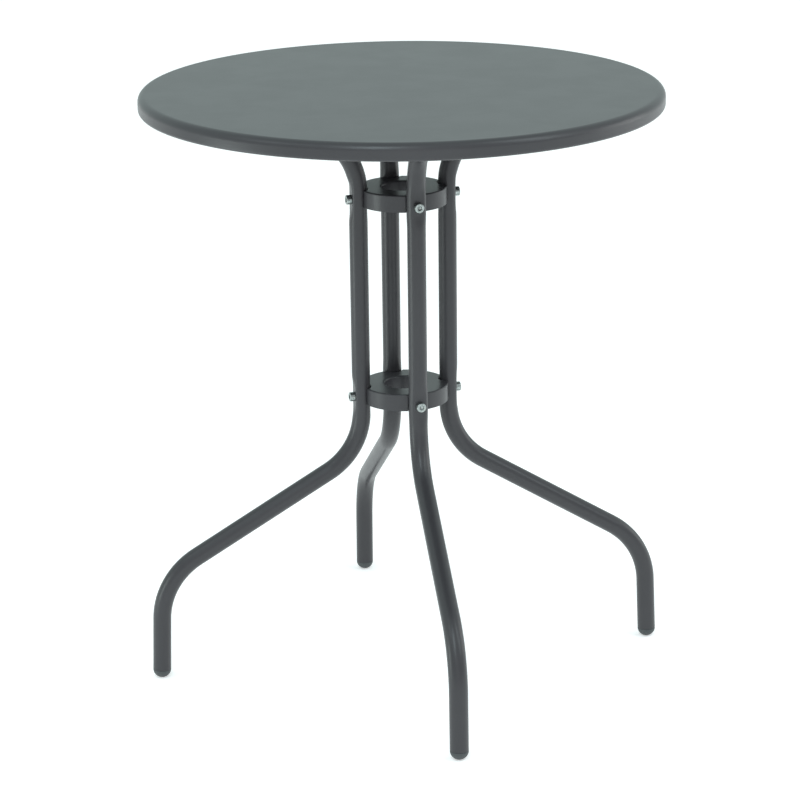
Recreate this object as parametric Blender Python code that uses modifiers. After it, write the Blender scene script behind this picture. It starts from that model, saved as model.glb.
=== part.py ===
"""A bistro table: a pressed steel top on four bent tube legs that two drilled rings hold together.

Metres, +Z up. The floor is z = 0 and the table's own axis is x = y = 0.
"""

import math

import bmesh
import bpy
from mathutils import Matrix, Vector

# Overall size.
TABLE_HEIGHT = 0.700
TOP_RADIUS = 0.300
# Clear space left between two pieces that touch.
GAP = 0.0003

# Tabletop: a sheet pan with a rounded rim that ends in a rolled hem.
TOP_SHEET = 0.0012
RIM_DEPTH = 0.0195
RIM_CORNER = 0.0085
HEM_RADIUS = 0.0035
TOP_SIDES = 48

# Leg: one tube, bent in one vertical plane, pressed flat wherever a screw goes through it.
TUBE_RADIUS = 0.01075
TUBE_WALL = 0.0014
TUBE_SIDES = 12
TUBE_OFFSET = 0.0536
LEG_CLOCKING = math.radians(-6.9)
FOOT_REACH = 0.2463
FOOT_SPLAY = math.radians(2.0)
LOWER_BEND_HEIGHT = 0.1241
LOWER_BEND_RADIUS = 0.0911
MIDDLE_BEND_HEIGHT = 0.2695
MIDDLE_BEND_RADIUS = 0.0843
FLARE_START = 0.5845
FLARE_ANGLE = math.radians(55.0)
FLARE_RADIUS = 0.072
LEVEL_BEND_RADIUS = 0.050
LEVEL_LENGTH = 0.084
LEVEL_SCREW_SETBACK = 0.038
BEND_STEPS = 4
FLAT_SPREAD = 0.05
RING_FLAT = {"outer": 0.0024, "inner": 0.0012, "half_length": 0.008, "fade": 0.020}
LEVEL_FLAT = {"outer": 0.0020, "inner": 0.0020, "half_length": 0.012, "fade": 0.010}

# Rings: stamped caps, the flat face up, with a notch in the skirt for each tube.
RING_RADIUS = 0.051
RING_SHEET = 0.002
RING_DEPTH = 0.020
RING_CORNER = 0.0018
RING_HOLE_RADIUS = 0.024
RING_LIP = 0.0185
RING_SCREW_DROP = 0.0118
RING_SIDES = 48
NOTCH_RADIUS = TUBE_RADIUS * (1 + FLAT_SPREAD) + GAP
NOTCH_SIDES = 16
UPPER_SCREW_HEIGHT = 0.5735
LOWER_SCREW_HEIGHT = 0.3365

# Mounting ring: a hat section welded under the tabletop, with the legs' upper ends below it.
HAT_SHEET = 0.0015
HAT_DEPTH = 0.009
HAT_FLANGE = 0.010
HAT_WEB_RUN = 0.006
HAT_FACE = 0.022
HAT_SIDES = 40

# Socket-head screws and their nuts, one size throughout.
SCREW_RADIUS = 0.003
SCREW_HEAD_RADIUS = 0.0055
SCREW_HEAD_HEIGHT = 0.0057
SCREW_HEAD_CHAMFER = 0.0008
SCREW_END = 0.0012
SOCKET_WIDTH = 0.005
SOCKET_DEPTH = 0.003
SCREW_SIDES = 10
NUT_WIDTH = 0.010
NUT_HEIGHT = 0.005
DRILL_RADIUS = 0.0036
DRILL_SIDES = 8

# Plugs: a dome as wide as the tube and a stem inside it.
PLUG_STEM = 0.015
PAD_CUT = 0.0003

SIDES = {"front": -90.0, "right": 0.0, "back": 90.0, "left": 180.0}

TOP_UNDERSIDE = TABLE_HEIGHT - TOP_SHEET
HAT_FACE_UNDERSIDE = TOP_UNDERSIDE - GAP - HAT_DEPTH - HAT_SHEET
LEVEL_HEIGHT = HAT_FACE_UNDERSIDE - GAP - (TUBE_RADIUS - LEVEL_FLAT["inner"])
RING_HEAD_SEAT = TUBE_OFFSET + TUBE_RADIUS - RING_FLAT["outer"] + GAP
RING_NUT_SEAT = TUBE_OFFSET - NOTCH_RADIUS - RING_SHEET - GAP - NUT_HEIGHT
RING_SCREW_LENGTH = RING_HEAD_SEAT - RING_NUT_SEAT + SCREW_END
LEVEL_HEAD_SEAT = LEVEL_HEIGHT - (TUBE_RADIUS - LEVEL_FLAT["outer"]) - GAP
LEVEL_NUT_SEAT = HAT_FACE_UNDERSIDE + HAT_SHEET + GAP
LEVEL_SCREW_LENGTH = LEVEL_NUT_SEAT + NUT_HEIGHT - LEVEL_HEAD_SEAT + SCREW_END

FINISHES = {
    "powder_coat": ((0.045, 0.053, 0.058), 0.45, 0.0),
    "zinc": ((0.62, 0.63, 0.64), 0.3, 1.0),
    "plug_plastic": ((0.035, 0.04, 0.043), 0.55, 0.0),
}


def clear_scene():
    """Removes the objects that a new Blender file starts with."""
    for obj in list(bpy.data.objects):
        bpy.data.objects.remove(obj, do_unlink=True)


def collection(name):
    """Adds a collection to the scene."""
    made = bpy.data.collections.new(name)
    bpy.context.scene.collection.children.link(made)
    return made


def material(name, finish):
    """A Principled material of its own for one piece."""
    colour, roughness, metallic = FINISHES[finish]
    made = bpy.data.materials.new(name)
    made.use_nodes = True
    shader = made.node_tree.nodes["Principled BSDF"]
    shader.inputs["Base Color"].default_value = (*colour, 1.0)
    shader.inputs["Roughness"].default_value = roughness
    shader.inputs["Metallic"].default_value = metallic
    return made


def arc(centre, radius, start, end, steps):
    """Points of an arc in a plane, from one angle to another, both ends included."""
    turns = [start + (end - start) * step / steps for step in range(steps + 1)]
    return [
        (centre[0] + radius * math.cos(turn), centre[1] + radius * math.sin(turn))
        for turn in turns
    ]


def rounded_path(corners, radii, steps):
    """A flat path through the corners, each inner corner replaced by an arc of its radius."""
    points = [Vector(corners[0])]
    for before, corner, after, radius in zip(corners, corners[1:], corners[2:], radii):
        corner = Vector(corner)
        back = (Vector(before) - corner).normalized()
        ahead = (Vector(after) - corner).normalized()
        half = back.angle(ahead) / 2
        centre = corner + (back + ahead).normalized() * radius / math.sin(half)
        start = corner + back * radius / math.tan(half) - centre
        turn = start.angle_signed(corner + ahead * radius / math.tan(half) - centre)
        for step in range(steps + 1):
            points.append(centre + Matrix.Rotation(-turn * step / steps, 2) @ start)
    points.append(Vector(corners[-1]))
    return points


def chain_mesh(name, points, closed):
    """A mesh of edges through (radius, height) points in the XZ plane."""
    mesh = bpy.data.meshes.new(name)
    shape = bmesh.new()
    verts = [shape.verts.new((x, 0.0, z)) for x, z in points]
    pairs = list(zip(verts, verts[1:]))
    if closed:
        pairs.append((verts[-1], verts[0]))
    for pair in pairs:
        shape.edges.new(pair)
    shape.to_mesh(mesh)
    shape.free()
    return mesh


def add_screw_turn(obj, sides):
    """Turns the object's chain of edges about Z. The chain runs down its outer side."""
    turn = obj.modifiers.new("turn", "SCREW")
    turn.steps = sides
    turn.render_steps = sides
    turn.use_merge_vertices = True
    turn.merge_threshold = 0.00005
    turn.use_smooth_shade = True


def add_sheet(obj, thickness):
    """Gives an open surface a sheet thickness on its inner side."""
    sheet = obj.modifiers.new("sheet", "SOLIDIFY")
    sheet.thickness = thickness
    sheet.offset = -1.0
    sheet.use_even_offset = True


def add_cut(obj, cutter):
    """Cuts the cutter out of the object."""
    cut = obj.modifiers.new("cut", "BOOLEAN")
    cut.operation = "DIFFERENCE"
    cut.solver = "EXACT"
    cut.object = cutter


def evaluated_mesh(obj):
    """The object's mesh with its modifiers applied. The object is removed."""
    graph = bpy.context.evaluated_depsgraph_get()
    mesh = bpy.data.meshes.new_from_object(obj.evaluated_get(graph))
    bpy.data.objects.remove(obj, do_unlink=True)
    return mesh


def add_cutter(name, holes, radius, sides, length, where):
    """One cutter made of straight pins, each centred on its own matrix."""
    mesh = bpy.data.meshes.new(name)
    shape = bmesh.new()
    for matrix in holes:
        bmesh.ops.create_cone(
            shape,
            cap_ends=True,
            segments=sides,
            radius1=radius,
            radius2=radius,
            depth=length,
            matrix=matrix,
        )
    shape.to_mesh(mesh)
    shape.free()
    cutter = bpy.data.objects.new(name, mesh)
    cutter.hide_render = True
    cutter.display_type = "WIRE"
    where.objects.link(cutter)
    return cutter


def along(direction, position):
    """A matrix that puts local +Z along the direction, at the position."""
    turned = Vector(direction).to_track_quat("Z", "Y").to_matrix().to_4x4()
    return Matrix.Translation(position) @ turned


def add_piece(name, mesh, finish, where, place=None):
    """Links a named object that has a material of its own."""
    obj = bpy.data.objects.new(name, mesh)
    where.objects.link(obj)
    if not mesh.materials:
        mesh.materials.append(None)
    obj.material_slots[0].link = "OBJECT"
    obj.material_slots[0].material = material(name, finish)
    if place is not None:
        obj.matrix_world = place
    return obj


def leg_path():
    """The tube's centreline in the leg's own plane, as (outward, height) points."""
    flare_tangent = FLARE_RADIUS * math.tan(FLARE_ANGLE / 2)
    flare_corner = FLARE_START + flare_tangent
    level_corner = (LEVEL_HEIGHT - flare_corner) * math.tan(FLARE_ANGLE)
    splay = math.tan(FOOT_SPLAY) * LOWER_BEND_HEIGHT
    corners = [
        (FOOT_REACH, foot_centre_height() + GAP),
        (FOOT_REACH - splay, LOWER_BEND_HEIGHT),
        (0.0, MIDDLE_BEND_HEIGHT),
        (0.0, flare_corner),
        (level_corner, LEVEL_HEIGHT),
        (level_corner + LEVEL_LENGTH, LEVEL_HEIGHT),
    ]
    radii = [LOWER_BEND_RADIUS, MIDDLE_BEND_RADIUS, FLARE_RADIUS, LEVEL_BEND_RADIUS]
    return rounded_path(corners, radii, BEND_STEPS)


def foot_centre_height():
    """Height of the foot dome's centre: its lowest part is cut off as a small flat pad."""
    return TUBE_RADIUS - PAD_CUT


def leg_end():
    """The upper end of the centreline, as (outward, height)."""
    return leg_path()[-1]


def leg_frame(side):
    """Places the leg's own plane: outward is local +X, and the straight tube is local Z."""
    spin = Matrix.Rotation(math.radians(SIDES[side]), 4, "Z")
    clocking = Matrix.Rotation(LEG_CLOCKING, 4, "Z")
    return spin @ Matrix.Translation((TUBE_OFFSET, 0.0, 0.0)) @ clocking


def radial_frame(side, radius, height):
    """Local +Z points outward from the table's axis."""
    spin = Matrix.Rotation(math.radians(SIDES[side]), 4, "Z")
    return spin @ along((1.0, 0.0, 0.0), (radius, 0.0, height))


def flats():
    """Where the tube is pressed: its centre, its run, the screw's outward axis and its sizes."""
    end = leg_end()
    screw_axis = Vector((math.cos(-LEG_CLOCKING), math.sin(-LEG_CLOCKING), 0.0))
    level = Vector((end.x - LEVEL_SCREW_SETBACK, 0.0, LEVEL_HEIGHT))
    upright = Vector((0.0, 0.0, 1.0))
    return [
        (Vector((0.0, 0.0, LOWER_SCREW_HEIGHT)), upright, screw_axis, RING_FLAT),
        (Vector((0.0, 0.0, UPPER_SCREW_HEIGHT)), upright, screw_axis, RING_FLAT),
        (level, Vector((1.0, 0.0, 0.0)), -upright, LEVEL_FLAT),
    ]


def with_flat_stations(path):
    """The centreline with the extra points that the flats need on its straight runs."""
    points = [Vector((x, 0.0, z)) for x, z in path]
    for centre, run, _, sizes in flats():
        index = next(
            index
            for index, (a, b) in enumerate(zip(points, points[1:]))
            if (a - centre).cross(run).length < 1e-6
            and (b - centre).cross(run).length < 1e-6
            and (a - centre).dot(run) < 0 < (b - centre).dot(run)
        )
        first = (points[index] - centre).dot(run) + GAP
        last = (points[index + 1] - centre).dot(run) - GAP
        offsets = [sizes["half_length"], sizes["half_length"] + sizes["fade"]]
        stations = sorted(offset * sign for offset in offsets for sign in (1, -1))
        inside = [centre + run * station for station in stations if first < station < last]
        points[index + 1 : index + 1] = inside
    return points


def press_flats(shape):
    """Moves the tube's wall in to a flat on both sides at each screw, and spreads it sideways."""
    for centre, run, screw_axis, sizes in flats():
        sideways = run.cross(screw_axis)
        reach = sizes["half_length"] + sizes["fade"]
        for vert in shape.verts:
            offset = vert.co - centre
            distance = abs(offset.dot(run))
            if offset.cross(run).length > 1.5 * TUBE_RADIUS or distance > reach:
                continue
            share = min(1.0, (reach - distance) / sizes["fade"])
            highest = TUBE_RADIUS - sizes["outer"] * share
            lowest = sizes["inner"] * share - TUBE_RADIUS
            height = offset.dot(screw_axis)
            pressed = min(highest, max(lowest, height))
            vert.co += screw_axis * (pressed - height)
            vert.co += sideways * offset.dot(sideways) * FLAT_SPREAD * share


def leg_mesh(cutters):
    """The bent tube with its flats and screw holes."""
    curve = bpy.data.curves.new("leg", "CURVE")
    curve.dimensions = "3D"
    curve.bevel_depth = TUBE_RADIUS
    curve.bevel_resolution = (TUBE_SIDES - 4) // 2
    curve.use_fill_caps = False
    points = with_flat_stations(leg_path())
    spline = curve.splines.new("POLY")
    spline.points.add(len(points) - 1)
    for knot, point in zip(spline.points, points):
        knot.co = (*point, 1.0)
        knot.tilt = math.pi / TUBE_SIDES
    obj = bpy.data.objects.new("leg_curve", curve)
    bpy.context.scene.collection.objects.link(obj)
    mesh = evaluated_mesh(obj)
    shape = bmesh.new()
    shape.from_mesh(mesh)
    press_flats(shape)
    bmesh.ops.recalc_face_normals(shape, faces=shape.faces)
    shape.to_mesh(mesh)
    shape.free()
    tube = bpy.data.objects.new("leg_tube", mesh)
    bpy.context.scene.collection.objects.link(tube)
    add_sheet(tube, TUBE_WALL)
    holes = [along(screw_axis, centre) for centre, _, screw_axis, _ in flats()]
    drill = add_cutter("leg_holes", holes, DRILL_RADIUS, DRILL_SIDES, 0.04, cutters)
    add_cut(tube, drill)
    return evaluated_mesh(tube)


def turned_mesh(name, points, sides, closed=False, sheet=0.0, cutter=None):
    """A profile turned about Z, as a finished mesh."""
    obj = bpy.data.objects.new(name, chain_mesh(name, points, closed))
    bpy.context.scene.collection.objects.link(obj)
    add_screw_turn(obj, sides)
    if sheet:
        add_sheet(obj, sheet)
    if cutter is not None:
        add_cut(obj, cutter)
    return evaluated_mesh(obj)


def top_profile():
    """The tabletop's outer surface, from its centre out and down to the end of the hem."""
    corner = (TOP_RADIUS - RIM_CORNER, TABLE_HEIGHT - RIM_CORNER)
    hem = (TOP_RADIUS - HEM_RADIUS, TABLE_HEIGHT - RIM_DEPTH + HEM_RADIUS)
    return [
        (0.0, TABLE_HEIGHT),
        *arc(corner, RIM_CORNER, math.pi / 2, 0.0, 4),
        *arc(hem, HEM_RADIUS, 0.0, -math.pi, 4),
    ]


def hat_profile():
    """The mounting ring's lower surface, from its inner flange to its outer one."""
    end = leg_end()
    screw = leg_frame("right") @ Vector((end.x - LEVEL_SCREW_SETBACK, 0.0, 0.0))
    middle = screw.length
    flange = HAT_FACE_UNDERSIDE + HAT_DEPTH
    half = HAT_FACE / 2
    return [
        (middle + half + HAT_WEB_RUN + HAT_FLANGE, flange),
        (middle + half + HAT_WEB_RUN, flange),
        (middle + half, HAT_FACE_UNDERSIDE),
        (middle - half, HAT_FACE_UNDERSIDE),
        (middle - half - HAT_WEB_RUN, flange),
        (middle - half - HAT_WEB_RUN - HAT_FLANGE, flange),
    ]


def ring_hollow_profile():
    """What is hollow in a ring: the hole in its face and the space inside its skirt."""
    lip = RING_HOLE_RADIUS + RING_SHEET
    inside = RING_RADIUS - RING_SHEET
    return [
        (0.0, RING_SCREW_DROP + RING_SHEET),
        (RING_HOLE_RADIUS, RING_SCREW_DROP + RING_SHEET),
        (RING_HOLE_RADIUS, RING_SCREW_DROP - RING_LIP),
        (lip, RING_SCREW_DROP - RING_LIP),
        (lip, RING_SCREW_DROP - RING_SHEET),
        (inside, RING_SCREW_DROP - RING_SHEET),
        (inside, -RING_DEPTH),
        (0.0, -RING_DEPTH),
    ]


def notched(name, mesh, radius, cutters):
    """The mesh with a notch of this radius cut in its side round each tube."""
    obj = bpy.data.objects.new(name, mesh)
    bpy.context.scene.collection.objects.link(obj)
    tubes = [radial_frame(side, TUBE_OFFSET, 0.0).to_translation() for side in SIDES]
    pins = [Matrix.Translation(tube) for tube in tubes]
    add_cut(obj, add_cutter(name, pins, radius, NOTCH_SIDES, 3 * RING_DEPTH, cutters))
    return evaluated_mesh(obj)


def ring_mesh(cutters):
    """A stamped ring, with its screw holes at z = 0."""
    shape = bmesh.new()
    middle = RING_SCREW_DROP - RING_DEPTH / 2
    bmesh.ops.create_cone(
        shape,
        cap_ends=True,
        segments=RING_SIDES,
        radius1=RING_RADIUS,
        radius2=RING_RADIUS,
        depth=RING_DEPTH,
        matrix=Matrix.Translation((0.0, 0.0, middle)),
    )
    block = bpy.data.meshes.new("ring_block")
    shape.to_mesh(block)
    shape.free()
    block = notched("ring_block", block, NOTCH_RADIUS, cutters)
    shape = bmesh.new()
    shape.from_mesh(block)
    rim = [edge for edge in shape.edges if min(v.co.z for v in edge.verts) > middle]
    bmesh.ops.bevel(shape, geom=rim, offset=RING_CORNER, segments=2, profile=0.5, affect="EDGES")
    shape.to_mesh(block)
    shape.free()
    hollow = turned_mesh("ring_hollow", ring_hollow_profile(), RING_SIDES)
    hollow = notched("ring_hollow", hollow, NOTCH_RADIUS + RING_SHEET, cutters)
    ring = bpy.data.objects.new("ring", block)
    bpy.context.scene.collection.objects.link(ring)
    inside = bpy.data.objects.new("ring_inside", hollow)
    inside.hide_render = True
    inside.display_type = "WIRE"
    cutters.objects.link(inside)
    add_cut(ring, inside)
    depth = TUBE_OFFSET - NOTCH_RADIUS
    holes = [radial_frame(side, depth, 0.0) for side in SIDES]
    add_cut(ring, add_cutter("ring_holes", holes, DRILL_RADIUS, DRILL_SIDES, 0.012, cutters))
    return evaluated_mesh(ring)


def screw_profile(length):
    """A socket-head screw whose head stands on z = 0, before the socket is cut."""
    head = SCREW_HEAD_RADIUS
    return [
        (0.0, SCREW_HEAD_HEIGHT),
        (head - SCREW_HEAD_CHAMFER, SCREW_HEAD_HEIGHT),
        (head, SCREW_HEAD_HEIGHT - SCREW_HEAD_CHAMFER),
        (head, 0.0),
        (SCREW_RADIUS, 0.0),
        (SCREW_RADIUS, -length + SCREW_END / 2),
        (SCREW_RADIUS - SCREW_END / 2, -length),
        (0.0, -length),
    ]


def nut_profile():
    """A hexagon nut standing on its lower face."""
    to_corner = 1 / math.cos(math.pi / 6)
    outer = NUT_WIDTH / 2 * to_corner
    hole = (SCREW_RADIUS + GAP) * to_corner
    return [(outer, NUT_HEIGHT), (outer, 0.0), (hole, 0.0), (hole, NUT_HEIGHT)]


def plug_mesh(name, pad_cut):
    """A domed plug: the dome's centre is the origin and its stem runs up the tube."""
    stem = (TUBE_RADIUS - TUBE_WALL) * math.cos(math.pi / TUBE_SIDES) - GAP
    dome = arc((0.0, 0.0), TUBE_RADIUS, 0.0, -math.pi / 2, 5)
    points = [(0.0, PLUG_STEM), (stem, PLUG_STEM), (stem, 0.0), *dome]
    mesh = turned_mesh(name, points, TUBE_SIDES)
    shape = bmesh.new()
    shape.from_mesh(mesh)
    tilt = Matrix.Rotation(-FOOT_SPLAY if pad_cut else 0.0, 4, "Y")
    half_step = Matrix.Rotation(math.pi / TUBE_SIDES, 4, "Z")
    bmesh.ops.transform(shape, matrix=tilt @ half_step, verts=shape.verts)
    if pad_cut:
        cut = bmesh.ops.bisect_plane(
            shape,
            geom=[*shape.verts, *shape.edges, *shape.faces],
            plane_co=(0.0, 0.0, -(TUBE_RADIUS - PAD_CUT)),
            plane_no=(0.0, 0.0, -1.0),
            clear_outer=True,
        )
        edges = [item for item in cut["geom_cut"] if isinstance(item, bmesh.types.BMEdge)]
        bmesh.ops.edgenet_fill(shape, edges=edges)
    bmesh.ops.recalc_face_normals(shape, faces=shape.faces)
    shape.to_mesh(mesh)
    shape.free()
    return mesh


def add_top(where, cutters):
    """The tabletop and the ring under it."""
    top = turned_mesh("tabletop", top_profile(), TOP_SIDES, sheet=TOP_SHEET)
    add_piece("tabletop", top, "powder_coat", where)
    level_screw = flats()[-1][0]
    holes = [Matrix.Translation(leg_frame(side) @ level_screw) for side in SIDES]
    drill = add_cutter("hat_holes", holes, DRILL_RADIUS, DRILL_SIDES, 0.04, cutters)
    hat = turned_mesh(
        "mounting_ring", hat_profile(), HAT_SIDES, sheet=HAT_SHEET, cutter=drill
    )
    add_piece("mounting_ring", hat, "powder_coat", where)


def add_legs(where, cutters):
    """The four tubes with a plug in both ends of each."""
    tube = leg_mesh(cutters)
    foot_plug = plug_mesh("foot_plug", pad_cut=True)
    end_plug = plug_mesh("end_plug", pad_cut=False)
    end = leg_end()
    at_foot = Matrix.Translation((FOOT_REACH, 0.0, foot_centre_height()))
    at_end = along((-1.0, 0.0, 0.0), (end.x + GAP, 0.0, end.y))
    for side in SIDES:
        frame = leg_frame(side)
        add_piece(f"leg_{side}", tube, "powder_coat", where, frame)
        add_piece(f"foot_plug_{side}", foot_plug, "plug_plastic", where, frame @ at_foot)
        add_piece(f"end_plug_{side}", end_plug, "plug_plastic", where, frame @ at_end)


def add_rings(where, cutters):
    """The two rings that the four tubes are screwed to."""
    ring = ring_mesh(cutters)
    for name, height in (("upper_ring", UPPER_SCREW_HEIGHT), ("lower_ring", LOWER_SCREW_HEIGHT)):
        place = Matrix.Translation((0.0, 0.0, height))
        add_piece(name, ring, "powder_coat", where, place)


def add_hardware(where, cutters):
    """Twelve screws and their nuts: one through each tube at each ring, and one at its upper end."""
    across = SOCKET_WIDTH / 2 / math.cos(math.pi / 6)
    at_socket = Matrix.Translation((0.0, 0.0, SCREW_HEAD_HEIGHT))
    socket = add_cutter("socket", [at_socket], across, 6, 2 * SOCKET_DEPTH, cutters)
    ring_screw, level_screw = (
        turned_mesh("screw", screw_profile(length), SCREW_SIDES, cutter=socket)
        for length in (RING_SCREW_LENGTH, LEVEL_SCREW_LENGTH)
    )
    nut = turned_mesh("nut", nut_profile(), 6, closed=True)
    level_point = flats()[-1][0]
    for side in SIDES:
        for ring, height in (("upper", UPPER_SCREW_HEIGHT), ("lower", LOWER_SCREW_HEIGHT)):
            place = radial_frame(side, RING_HEAD_SEAT, height)
            add_piece(f"{ring}_screw_{side}", ring_screw, "zinc", where, place)
            place = radial_frame(side, RING_NUT_SEAT, height)
            add_piece(f"{ring}_nut_{side}", nut, "zinc", where, place)
        point = leg_frame(side) @ level_point
        place = along((0.0, 0.0, -1.0), (point.x, point.y, LEVEL_HEAD_SEAT))
        add_piece(f"top_screw_{side}", level_screw, "zinc", where, place)
        place = Matrix.Translation((point.x, point.y, LEVEL_NUT_SEAT))
        add_piece(f"top_nut_{side}", nut, "zinc", where, place)


def build():
    """Builds the whole table."""
    clear_scene()
    table = collection("bistro_table")
    cutters = collection("cutters")
    add_top(table, cutters)
    add_legs(table, cutters)
    add_rings(table, cutters)
    add_hardware(table, cutters)


build()
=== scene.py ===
"""A bistro table: its finished visual model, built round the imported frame.

Metres, +Z up, the floor at z = 0 and the table's own axis at x = y = 0. Every piece is shaped with
bmesh operators and stands for the frame's node of the same place.
"""

import logging
import math
from collections.abc import Iterator
from dataclasses import dataclass
from enum import Enum
from typing import ClassVar

import bmesh
import bpy
from mathutils import Matrix, Vector


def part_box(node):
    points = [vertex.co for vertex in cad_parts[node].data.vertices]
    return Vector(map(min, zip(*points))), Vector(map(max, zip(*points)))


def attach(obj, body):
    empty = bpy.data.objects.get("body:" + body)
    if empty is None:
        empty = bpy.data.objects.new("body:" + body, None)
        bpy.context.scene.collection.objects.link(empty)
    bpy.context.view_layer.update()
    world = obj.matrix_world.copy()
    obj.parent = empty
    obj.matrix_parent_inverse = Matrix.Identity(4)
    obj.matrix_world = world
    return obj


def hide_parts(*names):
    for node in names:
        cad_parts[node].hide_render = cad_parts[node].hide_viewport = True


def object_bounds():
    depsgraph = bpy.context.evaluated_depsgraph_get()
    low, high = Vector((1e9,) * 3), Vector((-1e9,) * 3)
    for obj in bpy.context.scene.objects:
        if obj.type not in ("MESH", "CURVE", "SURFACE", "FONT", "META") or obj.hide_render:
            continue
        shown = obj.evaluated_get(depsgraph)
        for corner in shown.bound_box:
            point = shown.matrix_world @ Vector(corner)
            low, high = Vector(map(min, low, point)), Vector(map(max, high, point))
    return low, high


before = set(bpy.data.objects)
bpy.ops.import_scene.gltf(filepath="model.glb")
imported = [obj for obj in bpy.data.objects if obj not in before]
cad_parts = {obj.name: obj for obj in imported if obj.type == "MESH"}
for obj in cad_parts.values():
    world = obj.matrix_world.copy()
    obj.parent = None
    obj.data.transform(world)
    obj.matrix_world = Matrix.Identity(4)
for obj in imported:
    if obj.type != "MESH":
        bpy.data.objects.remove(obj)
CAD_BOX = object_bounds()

Shape = bmesh.types.BMesh
Loop = list[bmesh.types.BMEdge]
Socket = bpy.types.NodeSocket
Span = tuple[float, float]
Triple = tuple[float, float, float]

LOG = logging.getLogger("bistro_table")
BODY = "root"
SHARP_ANGLE = math.radians(38.0)
WELD_DISTANCE = 1e-6
DRILL_SIDES = 24
ORIGIN = Vector((0.0, 0.0, 0.0))
UP = Vector((0.0, 0.0, 1.0))
OUTWARD = Vector((1.0, 0.0, 0.0))
SIDEWAYS = Vector((0.0, 1.0, 0.0))


class Side(Enum):
    """The four legs, by the direction that each one stands in, in degrees from +X."""

    FRONT = -90.0
    RIGHT = 0.0
    BACK = 90.0
    LEFT = 180.0

    @property
    def tag(self) -> str:
        """The word that this side's pieces end with."""
        return self.name.lower()

    @property
    def spin(self) -> Matrix:
        """Turns what is built along +X to this side."""
        return Matrix.Rotation(math.radians(self.value), 4, "Z")


class Slot(Enum):
    """The record's material slots."""

    POWDER_COAT = "powder_coat"
    ZINC = "zinc"
    PLUG_PLASTIC = "plug_plastic"


def loops_of(items: list) -> Loop:
    """The edges in an operator's result."""
    return [item for item in items if isinstance(item, bmesh.types.BMEdge)]


def verts_of(edges: Loop) -> list[bmesh.types.BMVert]:
    """The vertices of some edges, each once."""
    return list({vert: None for edge in edges for vert in edge.verts})


def placed(shape: Shape, name: str) -> bpy.types.Object:
    """Puts a shape into the scene as an object.

    Args:
        shape: The shape. It is used up.
        name: The object's name.

    Returns:
        The object.
    """
    mesh = bpy.data.meshes.new(name)
    shape.to_mesh(mesh)
    shape.free()
    made = bpy.data.objects.new(name, mesh)
    bpy.context.scene.collection.objects.link(made)
    return made


def ring_of(shape: Shape, sides: int, radius: float, height: float = 0.0) -> Loop:
    """Draws a ring of edges round the Z axis.

    Args:
        shape: The shape that it is drawn on.
        sides: How many edges it has.
        radius: Its radius.
        height: Its height.

    Returns:
        Its edges.
    """
    known = set(shape.edges)
    place = Matrix.Translation(UP * height)
    bmesh.ops.create_circle(shape, cap_ends=False, segments=sides, radius=radius, matrix=place)
    return [edge for edge in shape.edges if edge not in known]


def extruded(shape: Shape, loop: Loop, scale: float, rise: float) -> Loop:
    """Extrudes an edge loop about the Z axis.

    Args:
        shape: The shape that the loop is on.
        loop: The loop.
        scale: How much wider the new loop is.
        rise: How much higher it is.

    Returns:
        The new loop.
    """
    moved = loops_of(bmesh.ops.extrude_edge_only(shape, edges=loop)["geom"])
    bmesh.ops.scale(shape, vec=(scale, scale, 1.0), verts=verts_of(moved))
    bmesh.ops.translate(shape, vec=UP * rise, verts=verts_of(moved))
    return moved


def spun(shape: Shape, chain: list, centre: Vector, axis: Vector, angle: float, steps: int) -> list:
    """Spins vertices, and the edges between them, round an axis.

    Args:
        shape: The shape that they are on.
        chain: The vertices and edges.
        centre: A point on the axis.
        axis: The axis's direction.
        angle: How far they are spun; a whole turn is closed.
        steps: How many steps the spin has.

    Returns:
        The vertices and edges at its end.
    """
    return bmesh.ops.spin(
        shape,
        geom=chain,
        cent=centre,
        axis=axis,
        dvec=ORIGIN,
        angle=angle,
        steps=steps,
        use_merge=angle == math.tau,
    )["geom_last"]


def round_off(shape: Shape, corners: list[bmesh.types.BMVert], size: float, steps: int) -> None:
    """Rounds the corners of an outline.

    Args:
        shape: The shape that the outline is on.
        corners: The corners.
        size: How far each is cut back.
        steps: How many steps each round has.
    """
    bmesh.ops.bevel(
        shape,
        geom=corners,
        offset=size,
        segments=steps,
        profile=0.5,
        affect="VERTICES",
        material=-1,
    )


def quarter_round(radius: float, steps: int) -> Iterator[Span]:
    """Steps along a quarter round, from its level end.

    Args:
        radius: The round's radius.
        steps: How many steps it has.

    Yields:
        How far each step has gone outward and how far down, starting with the first step's end.
    """
    for step in range(1, steps + 1):
        turn = math.pi / 2 * step / steps
        yield radius * math.sin(turn), radius * (1.0 - math.cos(turn))


def weld(shape: Shape) -> None:
    """Closes seams and poles, and turns every face outward.

    Args:
        shape: One closed shell, or one about to be closed by the weld.
    """
    bmesh.ops.remove_doubles(shape, verts=shape.verts, dist=WELD_DISTANCE)
    bmesh.ops.dissolve_degenerate(shape, edges=shape.edges, dist=WELD_DISTANCE)
    bmesh.ops.recalc_face_normals(shape, faces=shape.faces)


def facing(direction: Vector, position: Vector) -> Matrix:
    """A matrix that puts local +Z along a direction.

    Args:
        direction: Where local +Z points.
        position: Where the local origin goes.

    Returns:
        The placing matrix.
    """
    turned = direction.to_track_quat("Z", "Y").to_matrix().to_4x4()
    return Matrix.Translation(position) @ turned


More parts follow.
